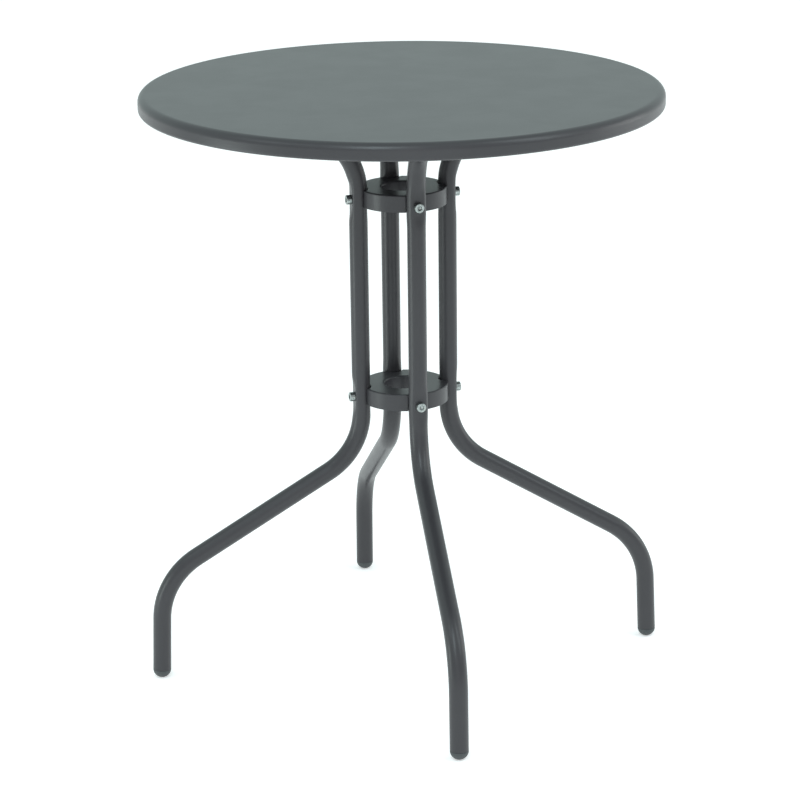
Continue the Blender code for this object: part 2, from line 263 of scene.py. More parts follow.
def drill(shape: Shape, holes: list[Matrix], radius: float, depth: float) -> None:
    """Drills round holes through a closed shape.

    Args:
        shape: The shape, changed in place.
        holes: One matrix a hole, whose local Z is the drill's axis, at the middle of its travel.
        radius: The drill's radius.
        depth: The drill's whole travel.
    """
    bits = bmesh.new()
    for hole in holes:
        bmesh.ops.create_cone(
            bits,
            cap_ends=True,
            segments=DRILL_SIDES,
            radius1=radius,
            radius2=radius,
            depth=depth,
            matrix=hole,
        )
    bit = placed(bits, "bits")
    blank = placed(shape.copy(), "work")
    cut = blank.modifiers.new("drill", "BOOLEAN")
    cut.operation = "DIFFERENCE"
    cut.solver = "EXACT"
    cut.object = bit
    graph = bpy.context.evaluated_depsgraph_get()
    drilled = bpy.data.meshes.new_from_object(blank.evaluated_get(graph))
    shape.clear()
    shape.from_mesh(drilled)
    used = [drilled, blank.data, bit.data]
    for tool in (blank, bit):
        bpy.data.objects.remove(tool, do_unlink=True)
    for mesh in used:
        bpy.data.meshes.remove(mesh)


class Profile:
    """A chain of edges in the XZ plane, drawn with straight runs and round turns, then revolved."""

    def __init__(self, radius: float, height: float) -> None:
        """Sets the pen down.

        Args:
            radius: Distance from the axis.
            height: Height of the first point.
        """
        self.shape = bmesh.new()
        self.pen = self.shape.verts.new((radius, 0.0, height))

    def line(self, radius: float, height: float) -> "Profile":
        """Draws a straight run to a point.

        Args:
            radius: The point's distance from the axis.
            height: Its height.

        Returns:
            The profile itself.
        """
        self.pen = bmesh.ops.extrude_vert_indiv(self.shape, verts=[self.pen])["verts"][0]
        self.pen.co = (radius, 0.0, height)
        return self

    def turn(self, radius: float, height: float, degrees: float, steps: int = 6) -> "Profile":
        """Draws an arc round a centre.

        Args:
            radius: The centre's distance from the axis.
            height: The centre's height.
            degrees: How far to turn; more than 0 turns outward going up.
            steps: How many edges the arc has.

        Returns:
            The profile itself.
        """
        centre = Vector((radius, 0.0, height))
        turned = math.radians(degrees)
        self.pen = spun(self.shape, [self.pen], centre, -SIDEWAYS, turned, steps)[0]
        return self

    def revolve(self, sides: int) -> Shape:
        """Turns the chain once round the axis and closes the shape.

        Args:
            sides: How many steps the turn has.

        Returns:
            The closed shape.
        """
        chain = [*self.shape.verts, *self.shape.edges]
        spun(self.shape, chain, ORIGIN, UP, math.tau, sides)
        weld(self.shape)
        return self.shape


class TubeBender:
    """A tube that is fed forward and bent in the XZ plane, as a bending machine makes it."""

    FEED_STEP = 0.004
    BEND_STEP = math.radians(3.0)

    def __init__(self, radius: float, sides: int, start: Vector, heading: Vector) -> None:
        """Clamps the tube's first edge loop.

        Args:
            radius: The tube's outer radius.
            sides: How many sides its section has.
            start: The middle of its first end.
            heading: The way that the tube is fed.
        """
        self.shape = bmesh.new()
        self.position = start.copy()
        self.heading = heading.normalized()
        bmesh.ops.create_circle(
            self.shape,
            cap_ends=False,
            segments=sides,
            radius=radius,
            matrix=facing(self.heading, start),
        )
        self.end_loop = list(self.shape.edges)

    def feed(self, length: float) -> None:
        """Adds a straight run.

        Args:
            length: Its length.
        """
        steps = max(1, round(length / self.FEED_STEP))
        step = self.heading * (length / steps)
        for _ in range(steps):
            grown = bmesh.ops.extrude_edge_only(self.shape, edges=self.end_loop)
            self.end_loop = loops_of(grown["geom"])
            bmesh.ops.translate(self.shape, vec=step, verts=verts_of(self.end_loop))
        self.position += self.heading * length

    def bend(self, radius: float, angle: float) -> None:
        """Bends the tube.

        Args:
            radius: The bend's radius on the centreline.
            angle: How far the heading turns about +Y; more than 0 bends from +Z to +X.
        """
        inward = SIDEWAYS.cross(self.heading) * math.copysign(1.0, angle)
        centre = self.position + inward * radius
        chain = [*verts_of(self.end_loop), *self.end_loop]
        steps = max(2, math.ceil(abs(angle) / self.BEND_STEP))
        self.end_loop = loops_of(spun(self.shape, chain, centre, SIDEWAYS, angle, steps))
        turned = Matrix.Rotation(angle, 4, SIDEWAYS)
        self.position = centre + turned @ (self.position - centre)
        self.heading = turned @ self.heading


@dataclass(frozen=True)
class Recipe:
    """The parts that every finish's node tree is put together from."""

    EDGE_SAMPLES: ClassVar[int] = 4
    EDGE_LIKENESS: ClassVar[Span] = (0.995, 0.90)
    GLOSS_SPAN: ClassVar[Span] = (0.30, 0.70)

    material: bpy.types.Material

    @classmethod
    def begin(cls, name: str) -> "Recipe":
        """Starts a material with a Principled shader in it.

        Args:
            name: The material's name.

        Returns:
            The recipe for it.
        """
        material = bpy.data.materials.new(name)
        material.use_nodes = True
        return cls(material)

    @property
    def shader(self) -> bpy.types.Node:
        """The material's Principled shader."""
        return self.material.node_tree.nodes["Principled BSDF"]

    def node(self, kind: str, **settings: object) -> bpy.types.Node:
        """Adds a node.

        Args:
            kind: The node's type, without the words ShaderNode in front.
            settings: Its own settings, by name.

        Returns:
            The node.
        """
        made = self.material.node_tree.nodes.new("ShaderNode" + kind)
        for name, value in settings.items():
            setattr(made, name, value)
        return made

    def link(self, source: Socket, target: Socket) -> None:
        """Joins an output to an input."""
        self.material.node_tree.links.new(source, target)

    def pattern_space(self, stretch: Triple) -> Socket:
        """The object's own coordinates, stretched along each axis.

        Args:
            stretch: How much each axis is stretched.

        Returns:
            The stretched coordinates.
        """
        coordinates = self.node("TexCoord")
        mapping = self.node("Mapping")
        mapping.inputs["Scale"].default_value = stretch
        self.link(coordinates.outputs["Object"], mapping.inputs["Vector"])
        return mapping.outputs["Vector"]

    def noise(self, grain: float, detail: float = 2.0, stretch: Triple = (1.0, 1.0, 1.0)) -> Socket:
        """Soft noise.

        Args:
            grain: The size of its spots, in metres.
            detail: How many finer layers it has.
            stretch: How the coordinates are scaled first.

        Returns:
            The noise, about 0.5.
        """
        made = self.node("TexNoise")
        made.inputs["Scale"].default_value = 1.0 / grain
        made.inputs["Detail"].default_value = detail
        self.link(self.pattern_space(stretch), made.inputs["Vector"])
        return made.outputs["Fac"]

    def ranged(self, value: Socket, span: Span, low: float, high: float) -> Socket:
        """Maps a span of a value to a range, held at both ends.

        Args:
            value: The value.
            span: The two values that become low and high.
            low: The result at the span's start.
            high: The result at its end.

        Returns:
            The mapped value.
        """
        made = self.node("MapRange", interpolation_type="SMOOTHSTEP")
        made.inputs["From Min"].default_value = span[0]
        made.inputs["From Max"].default_value = span[1]
        made.inputs["To Min"].default_value = low
        made.inputs["To Max"].default_value = high
        self.link(value, made.inputs["Value"])
        return made.outputs["Result"]

    def blend(self, share: Socket, first: Socket | Triple, second: Socket | Triple) -> Socket:
        """Mixes two colours.

        Args:
            share: How much of the second colour shows, 0 to 1.
            first: A colour or an output.
            second: A colour or an output.

        Returns:
            The mixed colour.
        """
        made = self.node("Mix", data_type="RGBA")
        self.link(share, made.inputs["Factor"])
        for socket, colour in ((made.inputs["A"], first), (made.inputs["B"], second)):
            if isinstance(colour, tuple):
                socket.default_value = (*colour, 1.0)
            else:
                self.link(colour, socket)
        return made.outputs["Result"]

    def mottle(
        self,
        pattern: Socket,
        span: Span,
        first: Socket | Triple,
        second: Triple,
        most: float = 1.0,
    ) -> Socket:
        """Lets a second colour show where a pattern is high.

        Args:
            pattern: The pattern.
            span: The pattern's values where the second colour begins and where it shows most.
            first: The colour, or the output, that lies under it.
            second: The colour that shows.
            most: How much of it shows at most.

        Returns:
            The mottled colour.
        """
        return self.blend(self.ranged(pattern, span, 0.0, most), first, second)

    def product(self, first: Socket, second: Socket) -> Socket:
        """Multiplies two values.

        Args:
            first: One value.
            second: The other.

        Returns:
            Their product.
        """
        made = self.node("Math", operation="MULTIPLY")
        self.link(first, made.inputs[0])
        self.link(second, made.inputs[1])
        return made.outputs["Value"]

    def worn_edges(self, reach: float) -> Socket:
        """Finds how sharply the surface turns.

        Args:
            reach: How far from an edge it is still felt.

        Returns:
            0 on flats, up to 1 on sharp edges.
        """
        rounded = self.node("Bevel", samples=self.EDGE_SAMPLES)
        rounded.inputs["Radius"].default_value = reach
        true_normal = self.node("NewGeometry")
        likeness = self.node("VectorMath", operation="DOT_PRODUCT")
        self.link(rounded.outputs["Normal"], likeness.inputs[0])
        self.link(true_normal.outputs["Normal"], likeness.inputs[1])
        return self.ranged(likeness.outputs["Value"], self.EDGE_LIKENESS, 0.0, 1.0)

    def finish(self, colour: Socket, gloss: Socket, roughness: Span) -> None:
        """Gives the shader its colour and its roughness.

        Args:
            colour: The colour.
            gloss: The pattern that the roughness follows.
            roughness: The roughness where that pattern is low and where it is high.
        """
        self.link(colour, self.shader.inputs["Base Color"])
        rough = self.ranged(gloss, self.GLOSS_SPAN, *roughness)
        self.link(rough, self.shader.inputs["Roughness"])

    def relief(self, layers: list[tuple[Socket, float]]) -> None:
        """Stacks bump layers onto the shader's normal.

        Args:
            layers: Height patterns, each with its full height in metres.
        """
        below = None
        for height, distance in layers:
            bump = self.node("Bump")
            bump.inputs["Strength"].default_value = 1.0
            bump.inputs["Distance"].default_value = distance
            self.link(height, bump.inputs["Height"])
            if below is not None:
                self.link(below, bump.inputs["Normal"])
            below = bump.outputs["Normal"]
        self.link(below, self.shader.inputs["Normal"])


@dataclass(frozen=True)
class PowderCoat:
    """Semi-matte anthracite powder coat: a fine orange peel, faint mottling, rubbed edges."""

    name: str = "anthracite_powder_coat"
    body: Triple = (0.039, 0.038, 0.042)
    cloud: Triple = (0.042, 0.041, 0.045)
    fleck: Triple = (0.060, 0.060, 0.064)
    rubbed: Triple = (0.070, 0.072, 0.075)
    roughness: Span = (0.325, 0.345)
    refraction: float = 1.43
    peel_grain: float = 0.0011
    peel_height: float = 0.000012
    drift_grain: float = 0.090
    drift_height: float = 0.00002
    drift_span: Span = (0.35, 0.68)
    fleck_grain: float = 0.00055
    fleck_span: Span = (0.62, 0.80)
    fleck_share: float = 0.55
    wipe_grain: float = 0.045
    wipe_span: Span = (0.40, 0.70)
    rub_share: Span = (0.10, 0.55)
    edge_reach: float = 0.0009

    def material(self) -> bpy.types.Material:
        """Makes the finish's material.

        Returns:
            The material.
        """
        recipe = Recipe.begin(self.name)
        drift = recipe.noise(self.drift_grain, detail=3.0)
        flecks = recipe.noise(self.fleck_grain, detail=1.0)
        peel = recipe.noise(self.peel_grain, detail=1.5)
        wiped = recipe.noise(self.wipe_grain, detail=3.0)
        mottled = recipe.mottle(drift, self.drift_span, self.body, self.cloud)
        flecked = recipe.mottle(flecks, self.fleck_span, mottled, self.fleck, self.fleck_share)
        patches = recipe.ranged(wiped, self.wipe_span, *self.rub_share)
        edge = recipe.product(recipe.worn_edges(self.edge_reach), patches)
        recipe.finish(recipe.blend(edge, flecked, self.rubbed), wiped, self.roughness)
        recipe.shader.inputs["IOR"].default_value = self.refraction
        recipe.relief([(drift, self.drift_height), (peel, self.peel_height)])
        return recipe.material


@dataclass(frozen=True)
class ZincPlate:
    """Bright zinc plate on a turned screw: bluish, a little cloudy, with fine turning marks."""

    name: str = "bright_zinc_plate"
    bright: Triple = (0.40, 0.43, 0.42)
    dull: Triple = (0.26, 0.29, 0.285)
    stain: Triple = (0.34, 0.33, 0.28)
    roughness: Span = (0.24, 0.44)
    cloud_grain: float = 0.0022
    cloud_span: Span = (0.35, 0.70)
    cloud_height: float = 0.00002
    stain_grain: float = 0.0060
    stain_span: Span = (0.55, 0.80)
    stain_share: float = 0.5
    scratch_grain: float = 0.00035
    scratch_stretch: Triple = (1.0, 1.0, 5.0)
    scratch_height: float = 0.000006

    def material(self) -> bpy.types.Material:
        """Makes the finish's material.

        Returns:
            The material.
        """
        recipe = Recipe.begin(self.name)
        cloud = recipe.noise(self.cloud_grain, detail=3.0)
        tarnish = recipe.noise(self.stain_grain, detail=2.0)
        scratches = recipe.noise(self.scratch_grain, detail=2.0, stretch=self.scratch_stretch)
        plated = recipe.mottle(cloud, self.cloud_span, self.bright, self.dull)
        colour = recipe.mottle(tarnish, self.stain_span, plated, self.stain, self.stain_share)
        recipe.finish(colour, cloud, self.roughness)
        recipe.shader.inputs["Metallic"].default_value = 1.0
        recipe.relief([(cloud, self.cloud_height), (scratches, self.scratch_height)])
        return recipe.material


@dataclass(frozen=True)
class PlugPlastic:
    """Matt moulded polyethylene: a fine mould texture, scuffed pale where it meets the floor."""

    name: str = "moulded_plug_plastic"
    body: Triple = (0.046, 0.054, 0.057)
    cloud: Triple = (0.054, 0.061, 0.063)
    scuffed: Triple = (0.115, 0.118, 0.116)
    roughness: Span = (0.46, 0.60)
    cloud_grain: float = 0.012
    cloud_span: Span = (0.35, 0.68)
    cloud_height: float = 0.00004
    texture_grain: float = 0.0006
    texture_height: float = 0.000008
    scratch_grain: float = 0.0016
    scratch_stretch: Triple = (1.0, 1.0, 3.0)
    scuff_span: Span = (0.40, 0.65)
    scuff_share: Span = (0.15, 0.9)
    scuff_height: float = 0.0030

    def material(self) -> bpy.types.Material:
        """Makes the finish's material.

        Returns:
            The material.
        """
        recipe = Recipe.begin(self.name)
        cloud = recipe.noise(self.cloud_grain, detail=2.0)
        texture = recipe.noise(self.texture_grain, detail=2.0)
        scratches = recipe.noise(self.scratch_grain, detail=3.0, stretch=self.scratch_stretch)
        moulded = recipe.mottle(cloud, self.cloud_span, self.body, self.cloud)
        place = recipe.node("SeparateXYZ")
        recipe.link(recipe.pattern_space((1.0, 1.0, 1.0)), place.inputs["Vector"])
        low = recipe.ranged(place.outputs["Z"], (self.scuff_height, 0.0), 0.0, 1.0)
        scuffs = recipe.ranged(scratches, self.scuff_span, *self.scuff_share)
        colour = recipe.blend(recipe.product(low, scuffs), moulded, self.scuffed)
        recipe.finish(colour, scratches, self.roughness)
        recipe.relief([(cloud, self.cloud_height), (texture, self.texture_height)])
        return recipe.material


class Workshop:
    """Hands each finished shape over to the frame, in its own finish."""

    def __init__(self) -> None:
        """Mixes the three finishes."""
        self.finishes = {
            Slot.POWDER_COAT: PowderCoat().material(),
            Slot.ZINC: ZincPlate().material(),
            Slot.PLUG_PLASTIC: PlugPlastic().material(),
        }

    def deliver(self, shape: Shape, name: str, node: str, slot: Slot) -> None:
        """Makes a shape a finished piece that stands for a node of the frame.

        Args:
            shape: The shape in its place. It is used up.
            name: The piece's name.
            node: The frame's node that it stands for.
            slot: The record's material slot that its finish belongs to.
        """
        for face in shape.faces:
            face.smooth = True
        for edge in shape.edges:
            edge.smooth = len(edge.link_faces) == 2 and edge.calc_face_angle() < SHARP_ANGLE
        piece = placed(shape, name)
        piece.data.materials.append(self.finishes[slot])
        even = piece.modifiers.new("even_shading", "WEIGHTED_NORMAL")
        even.keep_sharp = True
        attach(piece, BODY)
        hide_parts(node)
        LOG.info("%s: %d faces, for node %s", name, len(piece.data.polygons), node)


@dataclass(frozen=True)
class Tabletop:
    """The pressed steel top: a flat pan whose rim turns down and ends in a rolled hem."""

    sheet: float = 0.0012
    rim_corner: float = 0.0085
    hem_radius: float = 0.0035
    pan_rings: tuple[float, ...] = (0.35, 0.7, 0.92)
    outer_steps: int = 12
    rim_inner_steps: int = 10
    hem_inner_steps: int = 8
    sides: int = 144

    def shape(self) -> Shape:
        """Turns the pan from its closed section.

        Returns:
            The closed shape.
        """
        low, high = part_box("tabletop")
        radius, height = high.x, high.z
        corner = (radius - self.rim_corner, height - self.rim_corner)
        hem = (radius - self.hem_radius, low.z + self.hem_radius)
        inner = self.rim_corner - self.sheet
        section = Profile(0.0, height)
        for share in self.pan_rings:
            section.line(corner[0] * share, height)
        section.line(corner[0] - self.sheet, height).line(corner[0], height)
        section.turn(*corner, -90.0, self.outer_steps).line(radius, hem[1])
        section.turn(*hem, -180.0, self.outer_steps)
        section.line(radius - 2 * self.hem_radius + self.sheet, hem[1])
        section.turn(*hem, 180.0, self.hem_inner_steps).line(radius - self.sheet, corner[1])
        section.turn(*corner, 90.0, self.rim_inner_steps)
        section.line(corner[0] - self.sheet, corner[1] + inner)
        section.line(0.0, corner[1] + inner)
        return section.revolve(self.sides)

    def build(self, workshop: Workshop) -> None:
        """Makes and dresses the top."""
        workshop.deliver(self.shape(), "tabletop_pan", "tabletop", Slot.POWDER_COAT)


@dataclass(frozen=True)
class Screw:
    """A socket-head screw with a hexagon socket, its head's seat at the origin and facing +Z."""

    head_radius: float = 0.0055
    head_height: float = 0.0057
    head_round: float = 0.0008
    shank_radius: float = 0.0030
    point: float = 0.0006
    socket_width: float = 0.0050
    socket_depth: float = 0.0030
    socket_chamfer: float = 0.0003
    socket_cone: float = 0.0009
    cone_point: float = 0.02
    round_steps: int = 5
    sides: int = 48
    plain_share: float = 0.35
    thread_pitch: float = 0.0010
    thread_depth: float = 0.0004

    def shape(self, length: float) -> Shape:
        """Shapes the screw from the bottom of its socket round to the end of its shank.

        Args:
            length: From under the head to the end.

        Returns:
            The closed shape.
        """
        shape = bmesh.new()
        crown = self.head_radius - self.head_round
        outer = ring_of(shape, self.sides, crown, self.head_height)
        mouth_radius = self.socket_width / 2 / math.cos(math.pi / 6) + self.socket_chamfer
        mouth = ring_of(shape, 6, mouth_radius, self.head_height)
        bmesh.ops.subdivide_edges(shape, edges=mouth, cuts=self.sides // 6 - 1)
        mouth = [edge for edge in shape.edges if edge not in set(outer)]
        bmesh.ops.triangle_fill(shape, use_beauty=True, edges=[*outer, *mouth])
        narrowed = (mouth_radius - self.socket_chamfer) / mouth_radius
        steps = (
            (narrowed, -self.socket_chamfer),
            (1.0, self.socket_chamfer - self.socket_depth),
            (self.cone_point, -self.socket_cone),
        )
        for scale, drop in steps:
            mouth = extruded(shape, mouth, scale, drop)
        bmesh.ops.contextual_create(shape, geom=mouth)
        radius, fallen = crown, 0.0
        for out, down in quarter_round(self.head_round, self.round_steps):
            outer = extruded(shape, outer, (crown + out) / radius, fallen - down)
            radius, fallen = crown + out, down
        outer = extruded(shape, outer, 1.0, self.head_round - self.head_height)
        outer = extruded(shape, outer, self.shank_radius / radius, 0.0)
        outer = self.threaded(shape, outer, length)
        bmesh.ops.contextual_create(shape, geom=outer)
        weld(shape)
        return shape

    def threaded(self, shape: Shape, loop: Loop, length: float) -> Loop:
        """Runs the shank down with thread-like grooves and a chamfered end.

        Args:
            shape: The screw so far.
            loop: The shank's open loop under the head.
            length: How far the shank reaches.

        Returns:
            The open loop at the end.
        """
        plain = self.plain_share * length
        loop = extruded(shape, loop, 1.0, -plain)
        root = 1.0 - self.thread_depth / self.shank_radius
        turns = int((length - plain - self.point) / self.thread_pitch)
        for _ in range(turns):
            loop = extruded(shape, loop, root, -self.thread_pitch / 2)
            loop = extruded(shape, loop, 1.0 / root, -self.thread_pitch / 2)
        left = length - plain - turns * self.thread_pitch - self.point
        loop = extruded(shape, loop, 1.0, -left)
        return extruded(shape, loop, 1.0 - self.point / self.shank_radius, -self.point)


@dataclass(frozen=True)
class Nut:
    """A hexagon nut with its lower face on z = 0 and the corners chamfered on both faces."""

    width: float = 0.0100
    height: float = 0.0050
    hole_radius: float = 0.0033
    hole_chamfer: float = 0.0003
    chamfer_angle: float = math.radians(28.0)
    rim_share: float = 0.985
    sides: int = 48

    def shape(self) -> Shape:
        """Shapes the nut from its hole outward and back.

        Returns:
            The closed shape.
        """
        shape = bmesh.new()
        across = self.width / 2
        bmesh.ops.create_circle(
            shape,
            cap_ends=False,
            segments=6,
            radius=across / math.cos(math.pi / 6),
            matrix=Matrix.Rotation(math.pi / 2, 4, "Z"),
        )
        bmesh.ops.subdivide_edges(shape, edges=shape.edges, cuts=self.sides // 6 - 1)
        lower = list(shape.edges)
        upper = extruded(shape, lower, 1.0, self.height)
        for loop, sign in ((lower, 1.0), (upper, -1.0)):
            for vert in verts_of(loop):
                overhang = vert.co.to_2d().length - across
                vert.co.z += sign * overhang * math.tan(self.chamfer_angle)
        rim_radius = across * self.rim_share
        rims = [ring_of(shape, self.sides, rim_radius, height) for height in (0.0, self.height)]
        for hexagon, rim in zip((lower, upper), rims):
            bmesh.ops.bridge_loops(shape, edges=[*hexagon, *rim])
        mouth_scale = (self.hole_radius + self.hole_chamfer) / rim_radius
        hole_scale = self.hole_radius / (self.hole_radius + self.hole_chamfer)
        throats = []
        for rim, sign in ((rims[0], 1.0), (rims[1], -1.0)):
            mouth = extruded(shape, rim, mouth_scale, 0.0)
            throats += extruded(shape, mouth, hole_scale, sign * self.hole_chamfer)
        bmesh.ops.bridge_loops(shape, edges=throats)
        weld(shape)
        return shape


@dataclass(frozen=True)
class Jaws:
    """A pair of jaws: how deep each bites, how long they are, and how far the dent fades out."""

    outer: float
    inner: float
    half_length: float
    fade: float
    soft: float = 0.0007
    spread: ClassVar[float] = 0.05
    grip: ClassVar[float] = 1.5

    def held(self, height: float, limit: float) -> float:
        """Holds a height under a limit, with a soft shoulder where the jaw begins to bite.

        Args:
            height: The height before the jaw closes.
            limit: The height that the jaw holds it under.

        Returns:
            The height that is left.
        """
        over = height - limit
        if over < -self.soft:
            return height
        if over > self.soft:
            return limit
        return height - (over + self.soft) ** 2 / (4.0 * self.soft)


@dataclass(frozen=True)
class Press:
    """Where the tube is pressed between two jaws for a screw."""

    centre: Vector
    run: Vector
    screw_axis: Vector
    jaws: Jaws

    def apply(self, shape: Shape, tube_radius: float) -> None:
        """Presses both sides of the tube in and lets it spread sideways.

        Args:
            shape: The tube's outer wall, changed in place.
            tube_radius: The tube's outer radius.
        """
        jaws = self.jaws
        sideways = self.run.cross(self.screw_axis)
        reach = jaws.half_length + jaws.fade
        for vert in shape.verts:
            offset = vert.co - self.centre
            distance = abs(offset.dot(self.run))
            if offset.cross(self.run).length > jaws.grip * tube_radius or distance > reach:
                continue
            share = min(1.0, (reach - distance) / jaws.fade)
            share = share * share * (3.0 - 2.0 * share)
            height = offset.dot(self.screw_axis)
            pressed = jaws.held(height, tube_radius - jaws.outer)
            pressed = -jaws.held(-pressed, tube_radius - jaws.inner)
            vert.co += self.screw_axis * (pressed - height) * share
            vert.co += sideways * offset.dot(sideways) * jaws.spread * share


@dataclass(frozen=True)
class Leg:
    """One bent tube with a domed plug in both ends, built in its own plane: outward is +X."""

    tube_radius: float = 0.01075
    tube_wall: float = 0.0014
    tube_offset: float = 0.0536
    tube_sides: int = 40
    foot_splay: float = math.radians(2.0)
    lower_bend: Span = (0.1241, 0.0911)
    middle_bend: Span = (0.2695, 0.0843)
    flare_start: float = 0.5845
    flare_angle: float = math.radians(55.0)
    flare_radius: float = 0.072
    level_bend_radius: float = 0.050
    level_length: float = 0.084
    ring_jaws: Jaws = Jaws(outer=0.0024, inner=0.0012, half_length=0.008, fade=0.020)
    top_jaws: Jaws = Jaws(outer=0.0020, inner=0.0020, half_length=0.012, fade=0.010)
    plug_stem: float = 0.015
    plug_lip: float = 0.0004
    lip_steps: int = 3
    dome_steps: int = 16
    pad_cut: float = 0.0003
    gap: float = 0.0003
    drill_radius: float = 0.0036

    @property
    def plane(self) -> Matrix:
        """Places the leg's own plane for the right side, aimed at that foot's plug.

        Returns:
            The placing matrix.
        """
        low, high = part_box("foot_plug_right")
        foot = (low + high) / 2 - Vector((self.tube_offset, 0.0, 0.0))
        clocking = Matrix.Rotation(math.atan2(foot.y, foot.x), 4, "Z")
        return Matrix.Translation((self.tube_offset, 0.0, 0.0)) @ clocking

    def local(self, node: str) -> Vector:
        """The middle of a right-side node, in the leg's own plane."""
        low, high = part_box(node)
        return self.plane.inverted() @ ((low + high) / 2)

    @property
    def foot(self) -> Vector:
        """The middle of the foot's dome: a small flat pad is cut from its lowest part."""
        return Vector((self.local("foot_plug_right").x, 0.0, self.tube_radius - self.pad_cut))

    @property
    def level_height(self) -> float:
        """The height of the tube's middle where it runs level under the top."""
        return self.local("end_plug_right").z

    def corners(self) -> list[Vector]:
        """Finds the centreline's corners, from the foot to the end under the top.

        Returns:
            The corners, in the leg's own plane.
        """
        foot = self.foot
        splay = math.tan(self.foot_splay) * self.lower_bend[0]
        flare_corner = self.flare_start + self.flare_radius * math.tan(self.flare_angle / 2)
        level_corner = (self.level_height - flare_corner) * math.tan(self.flare_angle)
        return [
            foot + UP * self.gap,
            Vector((foot.x - splay, 0.0, self.lower_bend[0])),
            Vector((0.0, 0.0, self.middle_bend[0])),
            Vector((0.0, 0.0, flare_corner)),
            Vector((level_corner, 0.0, self.level_height)),
            Vector((level_corner + self.level_length, 0.0, self.level_height)),
        ]

    def presses(self) -> list[Press]:
        """Finds the three places where a screw goes through the tube.

        Returns:
            One press for each.
        """
        aim = self.plane.to_3x3().inverted() @ OUTWARD
        lower = self.local("lower_screw_right").z
        upper = self.local("upper_screw_right").z
        level = self.local("top_screw_right").x
        return [
            Press(UP * lower, UP, aim, self.ring_jaws),
            Press(UP * upper, UP, aim, self.ring_jaws),
            Press(Vector((level, 0.0, self.level_height)), OUTWARD, -UP, self.top_jaws),
        ]

    def tube(self) -> Shape:
        """Bends, presses and drills the tube.

        Returns:
            The closed shape.
        """
        corners = self.corners()
        radii = [self.lower_bend[1], self.middle_bend[1], self.flare_radius, self.level_bend_radius]
        runs = [after - before for before, after in zip(corners, corners[1:])]
        bender = TubeBender(self.tube_radius, self.tube_sides, corners[0], runs[0])
        used = 0.0
        for run, following, radius in zip(runs, runs[1:], radii):
            angle = run.angle(following) * math.copysign(1.0, run.cross(following).y)
            tangent = radius * math.tan(abs(angle) / 2)
            bender.feed(run.length - used - tangent)
            bender.bend(radius, angle)
            used = tangent
        bender.feed(runs[-1].length - used)
        shape = bender.shape
        bmesh.ops.recalc_face_normals(shape, faces=shape.faces)
        for press in self.presses():
            press.apply(shape, self.tube_radius)
        bmesh.ops.solidify(shape, geom=shape.faces[:], thickness=self.tube_wall)
        holes = [facing(press.screw_axis, press.centre) for press in self.presses()]
        drill(shape, holes, self.drill_radius, 4 * self.tube_radius)
        return shape

    def plug(self, pad: bool) -> Shape:
        """A domed plug whose stem runs up the tube: the dome's middle is the origin.

        Args:
            pad: Whether the dome's lowest part is cut off, to stand on the floor.

        Returns:
            The closed shape.
        """
        radius = self.tube_radius
        stem = radius - self.tube_wall - self.gap
        section = Profile(0.0, self.plug_stem).line(stem - self.plug_lip, self.plug_stem)
        section.line(stem, self.plug_stem - self.plug_lip).line(stem, 0.0)
        section.line(radius - self.plug_lip, 0.0)
        section.turn(radius - self.plug_lip, -self.plug_lip, -90.0, self.lip_steps)
        section.turn(0.0, -self.plug_lip, -90.0, self.dome_steps)
        shape = section.revolve(self.tube_sides)
        squat = (radius - self.plug_lip) / radius
        for vert in shape.verts:
            if vert.co.z < -self.plug_lip:
                vert.co.z = -self.plug_lip + (vert.co.z + self.plug_lip) * squat
        if pad:
            bmesh.ops.rotate(
                shape, cent=ORIGIN, matrix=Matrix.Rotation(-self.foot_splay, 3, "Y"), verts=shape.verts
            )
            cut = bmesh.ops.bisect_plane(
                shape,
                geom=[*shape.verts, *shape.edges, *shape.faces],
                plane_co=(0.0, 0.0, self.pad_cut - radius),
                plane_no=-UP,
                clear_outer=True,
            )
            bmesh.ops.contextual_create(shape, geom=loops_of(cut["geom_cut"]))
        return shape

    def build(self, workshop: Workshop) -> None:
        """Makes and dresses the four legs and their eight plugs.

        Args:
            workshop: Where the pieces are finished.
        """
        pad_place = Matrix.Translation(self.foot)
        end_place = facing(-OUTWARD, self.corners()[-1] + OUTWARD * self.gap)
        for side in Side:
            place = side.spin @ self.plane
            pieces = (
                (self.tube(), "leg_tube", "leg", Slot.POWDER_COAT, place),
                (self.plug(pad=True), "foot_dome", "foot_plug", Slot.PLUG_PLASTIC, place @ pad_place),
                (self.plug(pad=False), "end_dome", "end_plug", Slot.PLUG_PLASTIC, place @ end_place),
            )
            for shape, name, node, slot, matrix in pieces:
                bmesh.ops.transform(shape, matrix=matrix, verts=shape.verts)
                workshop.deliver(shape, f"{name}_{side.tag}", f"{node}_{side.tag}", slot)


